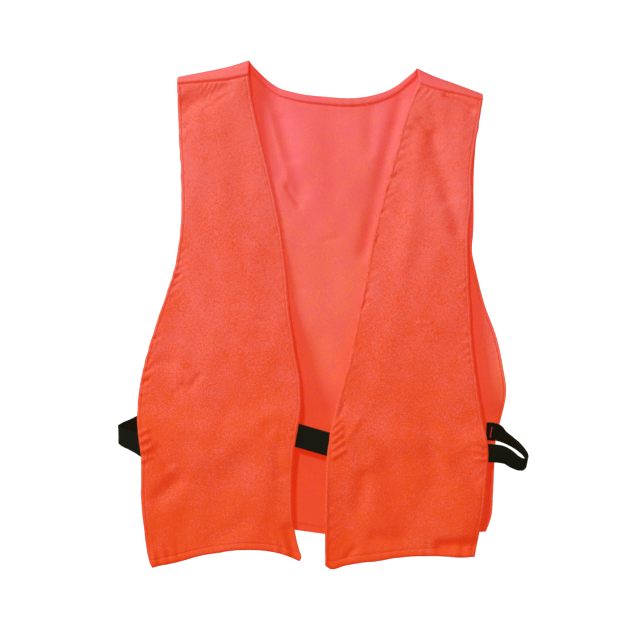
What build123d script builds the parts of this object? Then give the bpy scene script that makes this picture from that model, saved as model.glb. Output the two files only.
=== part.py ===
"""Blaze orange field vest, hung up by its shoulders.

Millimetres, +Z up, the wearer's front towards -Y, +X to the right of someone facing the vest.
The origin is on the hanger: between the two shoulder folds, at the mean height of their neck points.

Every panel of cloth is a thin flat plate with its cut outline. The back panel bends forward over the
hanger to the shoulder seams, and the front panels hang from those seams, which leaves the wearer's
space between front and back. Rows of lockstitch are thin strips on the cloth that they hold.
"""

import os
from math import cos, pi, radians, sin, tan

from build123d import *

# ---- driving dimensions --------------------------------------------------------------------------
CLOTH = 1.2  # thickness of a panel, with its turned hems taken into account
FOLD_RADIUS = 12.0  # outside of the back panel's bend over the hanger
SEAM_DROP = 3.0  # straight cloth below the bend, down to the shoulder seam
GAP = 0.3  # between pieces that move apart
SKIN = 0.8  # between the bend's outside and a front panel's inside
FRONT_LEAN = 2.0  # degrees that the front panels lean forward, going down
BACK_LEAN = 1.0  # degrees that the back panel leans backward, going down

THREAD_WIDTH, THREAD_HEIGHT = 0.8, 0.4
HEM = 11.0  # turned hem along the bottom
EDGE_HEM = 5.0  # narrow turned hem along the front, side and neck edges
ROW_END = 5.0  # how far a row of stitching stops short of the next one
BINDING_WIDTH, BINDING = 11.0, 1.0  # facing along the inside of the back neck
SEAM_WIDTH, SEAM = 8.0, 1.0  # folded seam allowance under each shoulder seam

ELASTIC_WIDTH, ELASTIC = 25.0, 1.2  # side straps
STRAP_TAIL = 13.0  # sewn length at each end of a side strap
TACK_WIDTH, TACK_LENGTH = 2.6, 22.0  # zigzag bar tack across a strap's end
FRONT_TACK_INSET, BACK_TACK_INSET = 12.0, 7.0  # from a panel's edge to the tack

CLOSURE_WIDTH, WEB = 32.0, 1.0  # front closure tab
PILE = 0.8  # hook tape and loop tape, each
CLOSURE_TILT = 16.0  # degrees that the closure runs down towards the right panel
CLOSURE_CENTRE = (-12.0, -526.0)  # middle of the closure's visible part, as (x, z)
HINGE_X = -36.0  # along the tab: where its sewn base ends and its flap begins

# neck point and shoulder point of each fold line, as (x, z)
LEFT_NECK, LEFT_SHOULDER = (-102.0, 5.6), (-202.0, -15.4)
RIGHT_NECK, RIGHT_SHOULDER = (136.0, -5.6), (225.5, -40.6)

# ---- cut outlines, as (x, z) ----------------------------------------------------------------------
LEFT_FRONT_EDGE = [(-94, -63), (-74, -147), (-48, -315), (-29, -465), (-38, -539), (-40, -630), (-29, -690)]
LEFT_HEM = [(-57, -683), (-108, -678), (-171, -687), (-237, -705)]
LEFT_SIDE_EDGE = [(-252, -620), (-252, -553), (-257, -470), (-239, -385), (-200, -250), (-197, -150)]

RIGHT_FRONT_EDGE = [(105, -119), (67, -287), (32, -455), (15, -511), (8, -553), (6, -630), (6, -700)]
RIGHT_HEM = [(55, -693), (125, -682), (216, -683)]
RIGHT_SIDE_EDGE = [(221, -652), (233, -575), (232, -535), (214, -398), (206, -255), (213, -140)]

BACK_NECK = [(-73, -21), (-34, -38), (35, -47), (84, -38), (114, -26)]
BACK_RIGHT_SIDE = [(213, -133), (210, -260), (246, -385), (259, -452), (246, -525), (241, -588), (235, -637)]
BACK_HEM = [(100, -656), (6, -656), (-100, -646), (-228, -636)]
BACK_LEFT_SIDE = [(-236, -600), (-240, -530), (-246, -470), (-228, -385), (-192, -250), (-195, -140)]

# ---- planes --------------------------------------------------------------------------------------
FACE = CLOTH / 2  # from a panel's middle plane to its face
TOP_Z = LEFT_NECK[1] - FOLD_RADIUS - SEAM_DROP  # the highest point of the shoulder seams
FRONT_Y = -(FOLD_RADIUS + SKIN + FACE)
BACK_Y = FOLD_RADIUS - FACE

front_plane = Plane(
    origin=(0, FRONT_Y, TOP_Z),
    x_dir=(1, 0, 0),
    z_dir=(0, -cos(radians(FRONT_LEAN)), sin(radians(FRONT_LEAN))),
)
back_plane = Plane(
    origin=(0, BACK_Y, TOP_Z),
    x_dir=(1, 0, 0),
    z_dir=(0, -cos(radians(BACK_LEAN)), -sin(radians(BACK_LEAN))),
)

tilt = radians(CLOSURE_TILT)
across, upward = front_plane.x_dir, front_plane.y_dir
# the closure's own plane: x along the strap, y through its layers to the back, z across its width
closure_plane = Plane(
    origin=front_plane.offset(-FACE).from_local_coords((CLOSURE_CENTRE[0], CLOSURE_CENTRE[1] - TOP_Z, 0)),
    x_dir=across * cos(tilt) - upward * sin(tilt),
    z_dir=across * sin(tilt) + upward * cos(tilt),
)


def front_y(z):
    """Y of the front panels' middle plane at height z."""
    return FRONT_Y + (z - TOP_Z) * tan(radians(FRONT_LEAN))


def back_y(z):
    """Y of the back panel's middle plane at height z."""
    return BACK_Y - (z - TOP_Z) * tan(radians(BACK_LEAN))


def seam_point(point, drop):
    """The point of a fold line, moved straight down to its seam and then by drop."""
    return (point[0], point[1] - FOLD_RADIUS - SEAM_DROP - drop)


def curve(points):
    """A line or smooth curve through points (x, z) of the vest, on a panel's own plane."""
    on_plane = [(x, z - TOP_Z) for x, z in points]
    if len(points) > 2:
        return Spline(*on_plane)
    return Line(*on_plane)


def save(part, name):
    """Labels a finished piece and writes it as parts/NAME.step."""
    part.label = name
    export_step(part, f"parts/{name}.step")


def panel(plane, *edges):
    """A flat panel. Its edges are smooth curves, each starting where the one before it ended."""
    with BuildPart() as made:
        with BuildSketch(plane):
            with BuildLine():
                for k, edge in enumerate(edges):
                    curve([edges[k - 1][-1]] + edge)
            make_face()
        extrude(amount=FACE, both=True)
    return made.part


def fold(neck, shoulder):
    """The cloth that bends over the hanger, from the back panel's top to the shoulder seam in front."""
    run = Vector(shoulder[0] - neck[0], 0, shoulder[1] - neck[1])
    centre = neck[1] - FOLD_RADIUS
    foot = centre - SEAM_DROP
    inner = FOLD_RADIUS - CLOTH
    with BuildPart() as made:
        with BuildSketch(Plane.YZ.offset(neck[0])):
            with BuildLine():
                CenterArc((0, centre), FOLD_RADIUS, 0, 180)
                CenterArc((0, centre), inner, 0, 180)
                Polyline((FOLD_RADIUS, centre), (FOLD_RADIUS, foot), (inner, foot), (inner, centre))
                Polyline((-FOLD_RADIUS, centre), (-FOLD_RADIUS, foot), (-inner, foot), (-inner, centre))
            make_face()
        extrude(amount=run.length, dir=run)
    return made.part


def row(edge, dx, dz, skip_start=ROW_END, skip_end=ROW_END):
    """An edge moved in by (dx, dz) and shortened at both ends, for the stitching inside it."""
    points = [Vector(x + dx, z + dz) for x, z in edge]
    first, last = points[1] - points[0], points[-2] - points[-1]
    points[0] += first.normalized() * skip_start
    points[-1] += last.normalized() * skip_end
    return [(point.X, point.Y) for point in points]


def stitching(plane, lift, *rows):
    """Rows of lockstitch, each a thin strip that starts lift above the plane."""
    with BuildPart() as made:
        for points in rows:
            with BuildLine() as line:
                curve(points)
            with BuildSketch(plane.offset(lift)):
                trace(line.line, line_width=THREAD_WIDTH)
            extrude(amount=THREAD_HEIGHT)
    return made.part


def side_strap(side, front, back, reach, droop):
    """An elastic strap sewn inside a front panel's edge and inside the back panel's, looping outward."""
    (front_x, z_front), (back_x, z_back) = front, back
    clear = FACE + ELASTIC / 2
    y_front, y_back = front_y(z_front) + clear + GAP, back_y(z_back) - clear - GAP
    middle, half = (y_front + y_back) / 2, (y_back - y_front) / 2
    turns = 8
    path = [Vector(front_x - side * STRAP_TAIL, y_front, z_front)]
    for k in range(turns + 1):
        share = k / turns
        angle = pi * (share - 0.5)
        x = front_x + (back_x - front_x) * share + side * reach * cos(angle)
        z = z_front + (z_back - z_front) * share - droop * cos(angle)
        path.append(Vector(x, middle + half * sin(angle), z))
    path.append(Vector(back_x - side * STRAP_TAIL, y_back, z_back))
    with BuildPart() as made:
        for k, point in enumerate(path):
            along = (path[min(k + 1, len(path) - 1)] - path[max(k - 1, 0)]).normalized()
            share = min(max(k - 1, 0) / turns, 1)
            lean = radians(FRONT_LEAN) * (1 - share) - radians(BACK_LEAN) * share
            upright = Vector(0, sin(lean), cos(lean))
            with BuildSketch(Plane(origin=point, x_dir=upright - along * upright.dot(along), z_dir=along)):
                Rectangle(ELASTIC_WIDTH, ELASTIC)
        loft(ruled=True)
    return made.part


def bar_tack(plane, lift, x, z):
    """A dense zigzag of thread across a strap's end, as a raised bar that starts lift above the plane."""
    with BuildPart() as made:
        with BuildSketch(plane.offset(lift)):
            with Locations((x, z - TOP_Z)):
                SlotOverall(TACK_LENGTH, TACK_WIDTH, rotation=90)
        extrude(amount=THREAD_HEIGHT)
    return made.part


def closure_piece(corners, width=CLOSURE_WIDTH):
    """A piece of the closure: corners along the strap and through its layers, as wide as the webbing."""
    with BuildPart() as made:
        with BuildSketch(closure_plane):
            with BuildLine():
                Polyline(*corners, close=True)
            make_face()
        extrude(amount=width / 2, both=True)
    return made.part


def slab(x0, x1, y0, y1):
    """Corners of a plain rectangle for closure_piece."""
    return [(x0, y0), (x1, y0), (x1, y1), (x0, y1)]


def box_stitch(x0, x1):
    """A box of stitching through a front panel, around the piece that is sewn behind it."""
    with BuildPart() as made:
        centre = closure_plane.from_local_coords(((x0 + x1) / 2, -CLOTH, 0))
        with BuildSketch(Plane(origin=centre, x_dir=closure_plane.x_dir, z_dir=-closure_plane.y_dir)):
            width, height = x1 - x0, CLOSURE_WIDTH - 2 * THREAD_WIDTH
            Rectangle(width, height)
            Rectangle(width - 2 * THREAD_WIDTH, height - 2 * THREAD_WIDTH, mode=Mode.SUBTRACT)
        extrude(amount=THREAD_HEIGHT)
    return made.part


os.makedirs("parts", exist_ok=True)

# ---- back panel, one piece of cloth that bends over the hanger on both sides of the neck -----------
neck_right = seam_point(RIGHT_NECK, 0)
with BuildPart() as back_panel:
    add(
        panel(
            back_plane,
            [seam_point(LEFT_NECK, 0)],
            BACK_NECK + [neck_right],
            [seam_point(RIGHT_SHOULDER, 0)],
            BACK_RIGHT_SIDE,
            BACK_HEM,
            BACK_LEFT_SIDE + [seam_point(LEFT_SHOULDER, 0)],
        )
    )
    add(fold(LEFT_NECK, LEFT_SHOULDER))
    add(fold(RIGHT_NECK, RIGHT_SHOULDER))
save(back_panel.part, "back_panel")

# ---- front panels ----------------------------------------------------------------------------------
left_neck, left_shoulder = seam_point(LEFT_NECK, GAP), seam_point(LEFT_SHOULDER, GAP)
right_neck, right_shoulder = seam_point(RIGHT_NECK, GAP), seam_point(RIGHT_SHOULDER, GAP)
left_side = LEFT_SIDE_EDGE + [left_shoulder]
right_side = RIGHT_SIDE_EDGE + [right_shoulder]
save(panel(front_plane, [left_neck], LEFT_FRONT_EDGE, LEFT_HEM, left_side), "left_front_panel")
save(panel(front_plane, [right_neck], RIGHT_FRONT_EDGE, RIGHT_HEM, right_side), "right_front_panel")

# ---- shoulder seams: the folded seam allowance, just below the bend and behind the front panel ------
allowance = -(FACE + GAP + SEAM)
for name, neck, shoulder in [
    ("left_shoulder_seam", LEFT_NECK, LEFT_SHOULDER),
    ("right_shoulder_seam", RIGHT_NECK, RIGHT_SHOULDER),
]:
    top = [seam_point(neck, 2 * GAP), seam_point(shoulder, 2 * GAP)]
    bottom = [(x, z - SEAM_WIDTH) for x, z in reversed(top)]
    with BuildPart() as seam:
        with BuildSketch(front_plane.offset(allowance)):
            with BuildLine():
                Polyline(*[(x, z - TOP_Z) for x, z in top + bottom], close=True)
            make_face()
        extrude(amount=SEAM)
    save(seam.part, name)

# ---- facing along the inside of the back neck --------------------------------------------------------
facing = row([seam_point(LEFT_NECK, 0)] + BACK_NECK + [neck_right], 0, -BINDING_WIDTH / 2)
with BuildPart() as back_neck_facing:
    with BuildLine() as facing_line:
        curve(facing)
    with BuildSketch(back_plane.offset(FACE)):
        trace(facing_line.line, line_width=BINDING_WIDTH)
    extrude(amount=BINDING)
save(back_neck_facing.part, "back_neck_facing")
facing_low = row(facing, 0, -BINDING_WIDTH / 2 + 2 * THREAD_WIDTH, 2 * ROW_END, 2 * ROW_END)
save(stitching(back_plane, FACE + BINDING, facing_low), "back_neck_stitching")

# ---- stitching of the turned hems ---------------------------------------------------------------------
save(stitching(back_plane, FACE, row(BACK_HEM, 0, HEM, 12, 12)), "back_hem_stitching")
save(
    stitching(
        back_plane,
        -FACE - THREAD_HEIGHT,
        row(BACK_RIGHT_SIDE[:4], -EDGE_HEM, 0),
        row(BACK_RIGHT_SIDE[4:], -EDGE_HEM, 0, ROW_END, 2 * HEM),
        row(BACK_LEFT_SIDE[:3], EDGE_HEM, 0, 2 * HEM),
        row(BACK_LEFT_SIDE[3:], EDGE_HEM, 0),
    ),
    "back_side_stitching",
)
left_row_end = HEM + 3 * ROW_END
save(
    stitching(front_plane, FACE, row(LEFT_FRONT_EDGE, -EDGE_HEM, 0, ROW_END, left_row_end)),
    "left_front_edge_stitching",
)
save(stitching(front_plane, FACE, row(LEFT_HEM, 0, HEM, 0, 8)), "left_hem_stitching")
save(
    stitching(front_plane, FACE, row(LEFT_SIDE_EDGE, EDGE_HEM, 0)),
    "left_side_edge_stitching",
)
save(
    stitching(front_plane, FACE, row(RIGHT_FRONT_EDGE, EDGE_HEM, 0, ROW_END, HEM + 3 * ROW_END)),
    "right_front_edge_stitching",
)
save(stitching(front_plane, FACE, row(RIGHT_HEM, 0, HEM, 0, 8)), "right_hem_stitching")
save(
    stitching(front_plane, FACE, row(RIGHT_SIDE_EDGE, -EDGE_HEM, 0)),
    "right_side_edge_stitching",
)

# ---- elastic side straps and the bar tacks that hold them ----------------------------------------------
LEFT_STRAP_FRONT, LEFT_STRAP_BACK = (-256.0, -535.0), (-240.0, -505.0)
RIGHT_STRAP_FRONT, RIGHT_STRAP_BACK = (232.0, -546.0), (248.0, -515.0)
save(side_strap(-1, LEFT_STRAP_FRONT, LEFT_STRAP_BACK, reach=36, droop=6), "left_side_strap")
save(side_strap(1, RIGHT_STRAP_FRONT, RIGHT_STRAP_BACK, reach=45, droop=14), "right_side_strap")
for side, name, front, back in [
    (-1, "left", LEFT_STRAP_FRONT, LEFT_STRAP_BACK),
    (1, "right", RIGHT_STRAP_FRONT, RIGHT_STRAP_BACK),
]:
    front_x, back_x = front[0] - side * FRONT_TACK_INSET, back[0] - side * BACK_TACK_INSET
    save(bar_tack(front_plane, FACE, front_x, front[1]), f"{name}_strap_front_tack")
    save(bar_tack(back_plane, FACE + ELASTIC + 2 * GAP, back_x, back[1]), f"{name}_strap_back_tack")

# ---- front closure: a tab sewn behind the left panel, held by hook and loop behind the right one --------
flap_y = PILE + GAP + PILE  # front face of the flap, behind both tapes
TAB_END, TAPE_START, TAPE_END = 60.0, 28.0, 58.0
save(closure_piece(slab(HINGE_X - 18, HINGE_X, 0, WEB)), "closure_tab_base")
flap = [
    (HINGE_X + GAP, GAP),
    (HINGE_X + 10, flap_y),
    (TAB_END, flap_y),
    (TAB_END, flap_y + WEB),
    (HINGE_X + 10, flap_y + WEB),
    (HINGE_X + GAP, WEB),
]
save(closure_piece(flap), "closure_tab")
save(closure_piece(slab(TAPE_START, TAPE_END, PILE + GAP, flap_y), CLOSURE_WIDTH - 4), "hook_tape")
save(closure_piece(slab(TAPE_START, TAPE_END + 4, 0, PILE), CLOSURE_WIDTH - 2), "loop_tape")
save(box_stitch(HINGE_X - 15, HINGE_X - 3), "closure_tab_stitching")
save(box_stitch(TAPE_START + 8, TAPE_END + 2), "loop_tape_stitching")
print("closure hinge", closure_plane.from_local_coords((HINGE_X, WEB, 0)), closure_plane.z_dir)
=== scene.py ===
"""Blaze orange vest, hung up: cloth panels with sewn hems, black elastic straps and a hook-and-loop tab.

Lengths in the making are millimetres and become metres when a mesh is written. Outlines are (x, z),
seen from the front. "Left" and "right" are as seen from the front.
"""

import math

import bpy
import numpy as np
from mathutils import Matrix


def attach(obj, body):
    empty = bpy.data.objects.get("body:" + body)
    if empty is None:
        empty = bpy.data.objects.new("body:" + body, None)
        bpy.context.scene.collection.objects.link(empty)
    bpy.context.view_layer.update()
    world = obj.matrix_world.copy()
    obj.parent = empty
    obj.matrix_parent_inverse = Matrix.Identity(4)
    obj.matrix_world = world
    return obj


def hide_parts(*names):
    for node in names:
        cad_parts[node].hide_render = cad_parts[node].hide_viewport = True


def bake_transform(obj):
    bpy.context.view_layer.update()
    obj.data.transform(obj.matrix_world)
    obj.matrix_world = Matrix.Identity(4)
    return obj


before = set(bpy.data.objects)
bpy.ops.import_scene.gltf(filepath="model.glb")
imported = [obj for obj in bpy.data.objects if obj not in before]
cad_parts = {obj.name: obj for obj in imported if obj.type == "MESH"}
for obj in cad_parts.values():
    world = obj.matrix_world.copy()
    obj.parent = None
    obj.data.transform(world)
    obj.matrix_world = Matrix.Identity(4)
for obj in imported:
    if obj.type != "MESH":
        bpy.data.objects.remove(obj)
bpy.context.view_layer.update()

MM = 0.001

# ---- dimensions shared with the CAD model ----
FOLD_RADIUS = 12.0  # the back panel's bend over the hanger
FRONT_Y, BACK_Y, TOP_Z = -13.4, 11.4, -9.4  # the leaning planes' places at the shoulder seams
FRONT_LEAN, BACK_LEAN = math.tan(math.radians(2.0)), math.tan(math.radians(1.0))

CLOTH = 0.5  # one layer
EDGE_HEM, HEM, FACING = 5.0, 11.5, 9.2  # widths of the turned hems and the neck facing
FACING_TURN = 3.0  # the facing's raw edge, turned in
HEM_LAYERS = 0.75  # extra thickness of a turned hem, on the inside
SEWN_EDGE, SEWN_HEM = EDGE_HEM - 0.6, HEM - 0.7  # from the edge to the row of stitching
STITCH, STITCH_GAP = 2.6, 0.7  # a stitch's length, and the gap to the next one

# ---- outlines ----
FOLD_LEFT = [(-203, -15), (-166, -7.8), (-129, 0.2), (-103, 8.4)]
FOLD_RIGHT = [(134, -3.0), (154, -12.5), (189, -25.3), (226, -39.3)]
BACK_NECK = [(-103, 8.4), (-91, -5.6), (-78, -18.4), (-62, -29.6), (-39, -37.2), (11, -43.7), (40, -45.2),
             (67, -42), (89, -35.7), (104, -28.2), (123, -13), (134, -3.0)]
BACK_RIGHT = [(226, -39.3), (214, -140), (212.5, -235), (211, -262), (216, -286), (229, -336), (247, -386),
              (256, -430), (260, -457), (256, -490), (247, -530), (244.5, -570), (243, -605), (240, -640),
              (233, -659)]
BACK_LEFT = [(-203, -15.3), (-196, -120), (-194, -235), (-212, -330), (-233, -400), (-243, -470),
             (-240, -530), (-237, -590), (-231, -648)]
BACK_HEM = [(-231, -648), (-150, -652), (-39, -656), (4, -662), (100, -666), (233, -659)]

LEFT_INNER = [(-104, -10), (-99.5, -42), (-91, -85), (-80, -130), (-70, -173), (-58, -232), (-50.5, -290),
              (-46, -345), (-38, -401), (-30.5, -450), (-29.5, -476), (-33, -505), (-39, -540),
              (-41.8, -575), (-42.2, -610), (-40.5, -640), (-37, -660), (-31.5, -680), (-29, -689),
              (-31.5, -695)]
LEFT_OUTER = [(-203.5, -26), (-201.5, -90), (-198.5, -150), (-197.2, -205), (-200.5, -247), (-204, -272),
              (-216, -315), (-233, -366), (-247.3, -415), (-257, -466), (-257.5, -500), (-255, -525),
              (-252, -545), (-252, -575), (-252, -605), (-248.5, -640), (-245.5, -670), (-241.5, -692),
              (-237, -704)]
LEFT_HEM = [(-237, -704), (-200, -695.5), (-160, -685.3), (-125, -680.5), (-100, -679), (-70, -682),
            (-50, -687), (-31.5, -695)]

RIGHT_INNER = [(137, -22), (119.5, -64.5), (104, -120), (87, -180), (72, -240), (61, -300), (49, -360),
               (40.5, -405), (25.2, -460), (13, -510), (7.4, -545), (5.2, -590), (4.7, -640), (4.2, -700)]
RIGHT_OUTER = [(226, -50), (220.5, -85), (214, -120), (210.5, -150), (210.5, -190), (205.5, -232),
               (205.8, -285), (208, -345), (211.5, -400), (217, -445), (222.5, -485), (226.5, -510),
               (230, -525), (231.5, -540), (230.5, -563), (228.5, -596), (224.5, -628), (219, -655),
               (212, -689)]
RIGHT_HEM = [(4.2, -700), (11, -705), (32, -700.5), (75, -694.5), (115, -689), (160, -687), (200, -689.5),
             (212, -689)]

# seam line below each fold line: how far the cloth of the back comes down in front, at each end
LEFT_SEAM_DROP, RIGHT_SEAM_DROP = (11.0, 22.0), (22.5, 9.6)  # at the lower x, at the higher x


def through(points):
    """A smooth curve through points: a function from shares of its length to places on it."""
    knots = np.array(points, float)
    at = np.r_[0, np.cumsum(np.linalg.norm(np.diff(knots, axis=0), axis=1))]
    slope = np.gradient(knots, at, axis=0)
    u = np.linspace(0, at[-1], 40 * len(knots))
    i = np.clip(np.searchsorted(at, u, side="right") - 1, 0, len(knots) - 2)
    h = (at[i + 1] - at[i])[:, None]
    w = (u[:, None] - at[i][:, None]) / h
    place = (
        (2 * w**3 - 3 * w**2 + 1) * knots[i]
        + (w**3 - 2 * w**2 + w) * h * slope[i]
        + (3 * w**2 - 2 * w**3) * knots[i + 1]
        + (w**3 - w**2) * h * slope[i + 1]
    )
    length = np.r_[0, np.cumsum(np.linalg.norm(np.diff(place, axis=0), axis=1))]
    share = length / length[-1]

    def at_share(f):
        return np.stack([np.interp(f, share, place[:, k]) for k in range(place.shape[1])], axis=-1)

    at_share.length = length[-1]
    return at_share


def ease(value):
    """Smoothstep of a value held between 0 and 1."""
    v = np.clip(value, 0, 1)
    return v * v * (3 - 2 * v)


def bell(value):
    """1 at 0, falling away on both sides."""
    return np.exp(-(value**2))


def noise_line(x, seed, pitch):
    """Smooth random numbers from -1 to 1 along a line, one new number each pitch."""
    values = np.random.default_rng(seed).uniform(-1, 1, 4096)
    place = np.asarray(x) / pitch
    whole = np.floor(place)
    k, w = whole.astype(int) % 4094, ease(place - whole)
    return values[k] * (1 - w) + values[k + 1] * w


def noise_field(x, z, seed, shortest, longest, waves=28, lean=0.0):
    """Smooth random undulation over the cloth, about -1 to 1. lean turns its crests from the vertical."""
    rng = np.random.default_rng(seed)
    total = np.zeros(np.shape(x))
    for _ in range(waves):
        wavelength = rng.uniform(shortest, longest)
        turn = rng.normal(lean, 0.7)
        across = (x * math.cos(turn) + z * math.sin(turn)) / wavelength
        total += np.sin(2 * math.pi * across + rng.uniform(0, 2 * math.pi))
    return total / math.sqrt(waves)


def strokes(x, z, marks):
    """Depth of folds pressed into the cloth. A mark is x0, z0, x1, z1, width, depth."""
    pressed, raised = np.zeros(np.shape(x)), np.zeros(np.shape(x))
    for x0, z0, x1, z1, width, depth in marks:
        dx, dz = x1 - x0, z1 - z0
        share = np.clip(((x - x0) * dx + (z - z0) * dz) / (dx * dx + dz * dz), 0, 1)
        away = np.hypot(x - x0 - share * dx, z - z0 - share * dz)
        own = depth * bell(away / width)
        pressed, raised = np.maximum(pressed, own), np.minimum(raised, own)
    return pressed + raised


def puckers(along, away, seed, pitch, height, reach, skew=0.0):
    """Ridges that a row of stitching draws up across itself, dying out away from it."""
    bend = 0.8 * noise_line(along, seed, 3.1 * pitch)
    wave = np.sin(2 * math.pi * ((along + skew * away) / pitch + bend))
    strength = 0.25 + 0.85 * noise_line(along + 500, seed + 1, 2.3 * pitch)
    return height * wave * np.clip(strength, 0, 1) * np.exp(-((away / reach) ** 1.5))


def gathers(cells, edge, line, *shape):
    """Puckers along a panel's row of stitching, which lies in from one of its edges."""
    return puckers(cells["along_" + edge], np.abs(cells["from_" + edge] - line), *shape)


def sewn(away, line, groove=0.6):
    """Section of a turned hem on the outside: a soft roll at the edge and a groove at its stitching."""
    roll = 0.5 * bell((away - 0.5 * line) / (0.42 * line))
    return roll - groove * bell(away - line) - 1.0 * bell(away / 1.6)


# ---- grids of cloth ----
# how far a grid's lines lie from a side edge, and its rows from the hem: close where the cloth is turned in
EDGE_STEPS = np.array([0, 0.7, 1.5, 2.3, 3.1, 3.8, 4.4, 5.0, 5.6, 6.4, 7.4, 8.8, 10.6, 12.8, 15.2])
HEM_STEPS = np.array([0, 0.8, 1.8, 3.0, 4.4, 6.0, 7.6, 9.0, 10.0, 10.8, 11.5, 12.2, 13.2, 14.8, 17.0])
FRONT_COLUMNS, BACK_COLUMNS = 86, 150  # between the close ones by the side edges


def row_shares(height, first, step=2.2):
    """Shares of the height for a grid's rows: the first ones as given, then even, then close at the hem."""
    even = np.arange(first[-1] + step, height - HEM_STEPS[-1] - 0.5 * step, step)
    return np.r_[first, even, height - HEM_STEPS[::-1]] / height


def grid(top, bottom, left, right, shares, inner):
    """Places (x, z) on a panel between its four edge curves, and each place's distance from each edge."""
    t = shares[:, None]
    width = np.linalg.norm(right(shares) - left(shares), axis=1)[:, None]
    s = np.empty((len(shares), 2 * len(EDGE_STEPS) + inner))
    n = len(EDGE_STEPS)
    s[:, :n] = EDGE_STEPS / width
    s[:, -n:] = 1 - EDGE_STEPS[::-1] / width
    first, last = s[:, n - 1 : n], s[:, -n : -n + 1]
    s[:, n:-n] = first + (last - first) * np.linspace(0, 1, inner + 2)[1:-1]
    t3, s3 = t[..., None], s[..., None]
    corners = (1 - s3) * (1 - t3) * top(0.0) + s3 * (1 - t3) * top(1.0)
    corners = corners + (1 - s3) * t3 * bottom(0.0) + s3 * t3 * bottom(1.0)
    across = (1 - s3) * left(shares)[:, None] + s3 * right(shares)[:, None]
    place = (1 - t3) * top(s) + t3 * bottom(s) + across - corners
    tall = 0.5 * (left.length + right.length)
    return {
        "x": place[..., 0],
        "z": place[..., 1],
        "from_left": s * width,
        "from_right": (1 - s) * width,
        "from_top": t * tall + 0 * s,
        "from_hem": (1 - t) * tall + 0 * s,
        "along_left": t * left.length + 0 * s,
        "along_right": t * right.length + 0 * s,
        "along_hem": s * bottom.length,
    }


def nearest(values, wanted):
    """Number of the value that is nearest to the one wanted."""
    return int(np.argmin(np.abs(values - wanted)))


def turned_in(layers):
    """1 over a turned hem, falling to 0 beyond it."""
    return 1 - ease((layers - EDGE_HEM - 0.2) / 0.5)


def inside_thickness(from_side, from_hem):
    """The cloth's half thickness on its inside, with its hems turned in."""
    return (0.5 * CLOTH + HEM_LAYERS * turned_in(np.minimum(from_side, from_hem * EDGE_HEM / HEM))).ravel()


def grid_faces(rows, columns):
    """Quads of a grid of points that is numbered row by row."""
    corner = (np.arange(rows - 1)[:, None] * columns + np.arange(columns - 1)).ravel()
    return np.stack([corner, corner + columns, corner + columns + 1, corner + 1], axis=1)


def surface_normals(points, faces):
    """Unit normal at each point of a surface of quads."""
    a, b, c, d = (points[faces[:, k]] for k in range(4))
    across = np.cross(c - a, d - b)
    total = np.zeros_like(points)
    for k in range(4):
        np.add.at(total, faces[:, k], across)
    return total / np.maximum(np.linalg.norm(total, axis=1), 1e-12)[:, None]


def in_scene(name, data):
    """A new object in the scene."""
    made = bpy.data.objects.new(name, data)
    bpy.context.scene.collection.objects.link(made)
    return made


def new_object(name, points, faces, material, sharp=()):
    """A smooth mesh object, from points in millimetres. sharp lists the edges that stay sharp."""
    mesh = bpy.data.meshes.new(name)
    mesh.from_pydata((np.asarray(points) * MM).tolist(), [], [list(map(int, face)) for face in faces])
    mesh.polygons.foreach_set("use_smooth", [True] * len(mesh.polygons))
    wanted = {tuple(sorted(map(int, pair))) for pair in sharp}
    for edge in mesh.edges if wanted else ():
        edge.use_edge_sharp = tuple(sorted(edge.vertices)) in wanted
    mesh.materials.append(material)
    return in_scene(name, mesh)


def thick_sheet(name, points, faces, outward, outer, inner, material, cut=()):
    """A closed sheet around a surface: outer and inner are its half thicknesses along outward.
    The rim is rounded, except on the cut points, where another piece of the same cloth goes on."""
    count = len(points)
    outer = np.broadcast_to(outer, count)[:, None]
    inner = np.broadcast_to(inner, count)[:, None]
    sides = np.concatenate([faces[:, [k, (k + 1) % 4]] for k in range(4)])
    owner = np.tile(np.arange(len(faces)), 4)
    key = np.sort(sides, axis=1)
    _, first, times = np.unique(key, axis=0, return_index=True, return_counts=True)
    border, border_face = sides[first[times == 1]], owner[first[times == 1]]
    middle = points[faces].mean(axis=1)
    push = np.zeros_like(points)
    for end in range(2):
        np.add.at(push, border[:, end], points[border].mean(axis=1) - middle[border_face])
    push -= outward * (push * outward).sum(axis=1)[:, None]
    push /= np.maximum(np.linalg.norm(push, axis=1), 1e-12)[:, None]
    rim = np.unique(border)
    swell = np.where(np.isin(rim, cut)[:, None], 0, 0.5 * (outer + inner)[rim])
    ring = points[rim] + outward[rim] * 0.5 * (outer - inner)[rim] + push[rim] * swell
    number = np.full(count, -1)
    number[rim] = 2 * count + np.arange(len(rim))
    a, b = border[:, 0], border[:, 1]
    walls = [
        np.stack([b, a, number[a], number[b]], axis=1),
        np.stack([number[b], number[a], a + count, b + count], axis=1),
    ]
    everything = np.concatenate([faces, faces[:, ::-1] + count] + walls)
    cloud = np.concatenate([points + outward * outer, points - outward * inner, ring])
    on_cut = border[np.isin(border, cut).all(axis=1)]
    return new_object(name, cloud, everything, material, sharp=np.concatenate([on_cut, on_cut + count]))


def grid_sheet(name, points, half, material, turned=False):
    """A closed sheet around a grid of points, half as thick on each side. turned faces it the other way."""
    flat, faces = points.reshape(-1, 3), grid_faces(*points.shape[:2])
    faces = faces[:, ::-1] if turned else faces
    return thick_sheet(name, flat, faces, surface_normals(flat, faces), half, half, material)


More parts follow.
